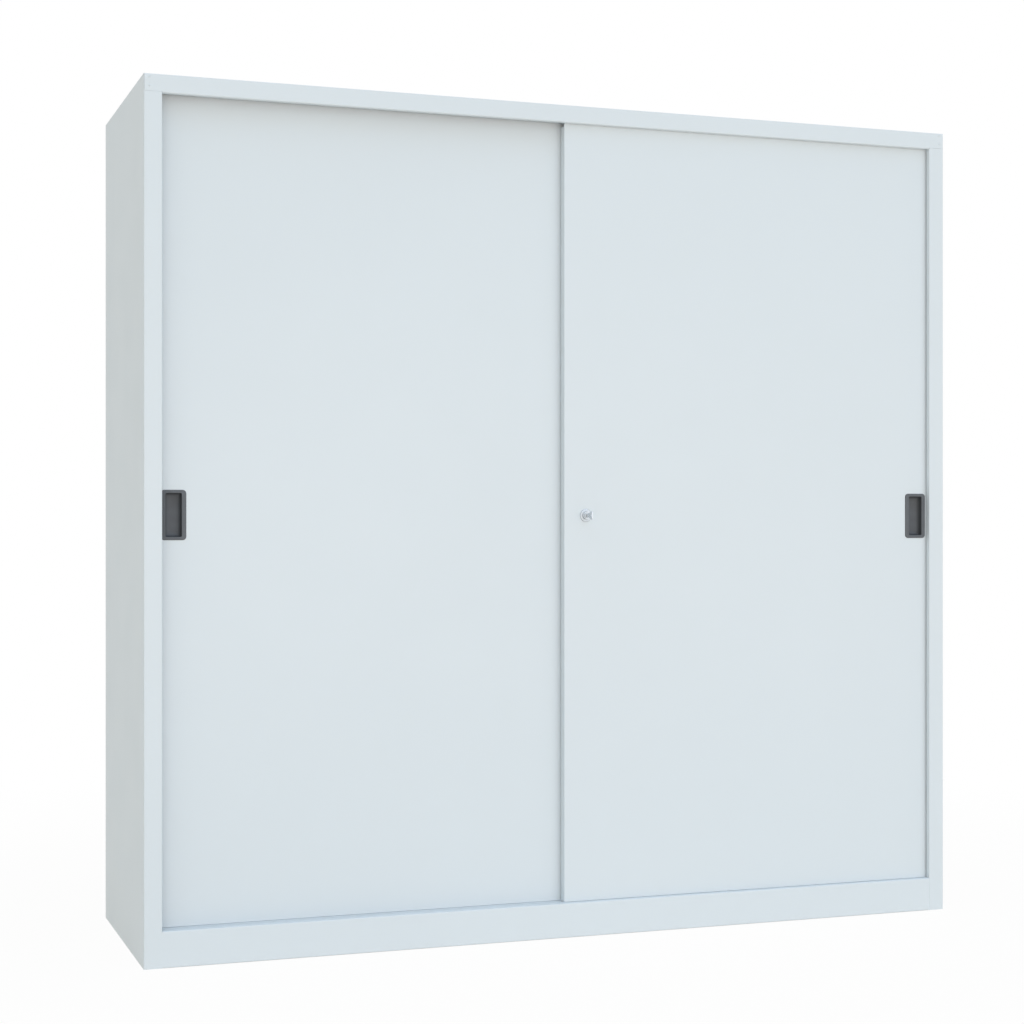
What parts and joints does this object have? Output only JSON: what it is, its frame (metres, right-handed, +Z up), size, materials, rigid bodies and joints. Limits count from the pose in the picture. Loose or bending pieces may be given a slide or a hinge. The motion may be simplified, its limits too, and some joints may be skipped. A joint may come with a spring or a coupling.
{
  "type": "sliding door cabinet",
  "caption": "Folded sheet steel cupboard with overlapping top-hung sliding doors, recessed pulls, a cylinder lock with its key, a centre partition and shelves.",
  "frame": {"origin": "on the floor, under the middle of the cabinet's body", "axes": "+X to the right seen from the front, +Y to the back, +Z up"},
  "size_m": [2, 0.6243, 1.95],
  "materials": {
    "enamel": "satin powder coat",
    "galvanised_steel": "galvanised",
    "pull_plastic": "fine matt grain",
    "nylon": "moulded",
    "buffer_rubber": "matt",
    "lock_plating": "satin nickel plate",
    "key_plating": "nickel plate"
  },
  "bodies": {
    "cabinet": {"left_side_panel": "enamel", "right_side_panel": "enamel", "top_panel": "enamel", "base_panel": "enamel", "left_back_panel": "enamel", "right_back_panel": "enamel", "centre_partition": "enamel", "front_track": "galvanised_steel", "front_track_left_buffer": "buffer_rubber", "front_track_right_buffer": "buffer_rubber", "rear_track": "galvanised_steel", "rear_track_left_buffer": "buffer_rubber", "rear_track_right_buffer": "buffer_rubber", "left_shelf_1": "enamel", "left_shelf_1_left_bearer": "galvanised_steel", "left_shelf_1_right_bearer": "galvanised_steel", "left_shelf_2": "enamel", "left_shelf_2_left_bearer": "galvanised_steel", "left_shelf_2_right_bearer": "galvanised_steel", "left_shelf_3": "enamel", "left_shelf_3_left_bearer": "galvanised_steel", "left_shelf_3_right_bearer": "galvanised_steel", "right_shelf_1": "enamel", "right_shelf_1_left_bearer": "galvanised_steel", "right_shelf_1_right_bearer": "galvanised_steel", "right_shelf_2": "enamel", "right_shelf_2_left_bearer": "galvanised_steel", "right_shelf_2_right_bearer": "galvanised_steel", "right_shelf_3": "enamel", "right_shelf_3_left_bearer": "galvanised_steel", "right_shelf_3_right_bearer": "galvanised_steel"},
    "left_door": {"left_door_panel": "enamel", "left_door_top_rail": "enamel", "left_door_stiffener": "enamel", "left_door_pull": "pull_plastic", "left_door_left_hanger": "galvanised_steel", "left_door_right_hanger": "galvanised_steel", "left_door_left_guide": "nylon", "left_door_right_guide": "nylon", "left_door_striker": "galvanised_steel"},
    "right_door": {"right_door_panel": "enamel", "right_door_top_rail": "enamel", "right_door_stiffener": "enamel", "right_door_pull": "pull_plastic", "right_door_left_hanger": "galvanised_steel", "right_door_right_hanger": "galvanised_steel", "right_door_left_guide": "nylon", "right_door_right_guide": "nylon", "lock_sleeve": "lock_plating", "lock_nut": "lock_plating"},
    "left_door_left_roller": {"left_door_left_roller": "nylon"},
    "left_door_right_roller": {"left_door_right_roller": "nylon"},
    "right_door_left_roller": {"right_door_left_roller": "nylon"},
    "right_door_right_roller": {"right_door_right_roller": "nylon"},
    "lock_cylinder": {"lock_cylinder": "lock_plating"},
    "lock_plug": {"lock_plug": "lock_plating"},
    "lock_key": {"lock_key": "key_plating"}
  },
  "joints": [
    {"name": "left_door_slide", "type": "slide", "parent": "cabinet", "child": "left_door", "axis": [1, 0, 0], "range_m": [0, 0.875]},
    {"name": "right_door_slide", "type": "slide", "parent": "cabinet", "child": "right_door", "axis": [1, 0, 0], "range_m": [-0.96, 0]},
    {"name": "left_door_left_roller_turn", "type": "hinge", "parent": "left_door", "child": "left_door_left_roller", "pos_m": [-0.873, -0.2475, 1.9343], "axis": [0, 1, 0], "continuous": true},
    {"name": "left_door_right_roller_turn", "type": "hinge", "parent": "left_door", "child": "left_door_right_roller", "pos_m": [-0.095, -0.2475, 1.9343], "axis": [0, 1, 0], "continuous": true},
    {"name": "right_door_left_roller_turn", "type": "hinge", "parent": "right_door", "child": "right_door_left_roller", "pos_m": [0.095, -0.273, 1.9343], "axis": [0, 1, 0], "continuous": true},
    {"name": "right_door_right_roller_turn", "type": "hinge", "parent": "right_door", "child": "right_door_right_roller", "pos_m": [0.873, -0.273, 1.9343], "axis": [0, 1, 0], "continuous": true},
    {"name": "lock_cylinder_push", "type": "slide", "parent": "right_door", "child": "lock_cylinder", "axis": [0, 1, 0], "range_m": [0, 0.005], "stiffness_N_per_m": 300},
    {"name": "lock_plug_turn", "type": "hinge", "parent": "lock_cylinder", "child": "lock_plug", "pos_m": [0.04, -0.284, 0.989], "axis": [0, 1, 0], "range_deg": [0, 90]},
    {"name": "lock_key_withdraw", "type": "slide", "parent": "lock_plug", "child": "lock_key", "axis": [0, -1, 0], "range_m": [0, 0.017]}
  ],
  "couplings": [
    {"joint": "left_door_left_roller_turn", "follows": "left_door_slide", "rad_per_m": 111.11},
    {"joint": "left_door_right_roller_turn", "follows": "left_door_slide", "rad_per_m": 111.11},
    {"joint": "right_door_left_roller_turn", "follows": "right_door_slide", "rad_per_m": 111.11},
    {"joint": "right_door_right_roller_turn", "follows": "right_door_slide", "rad_per_m": 111.11}
  ]
}
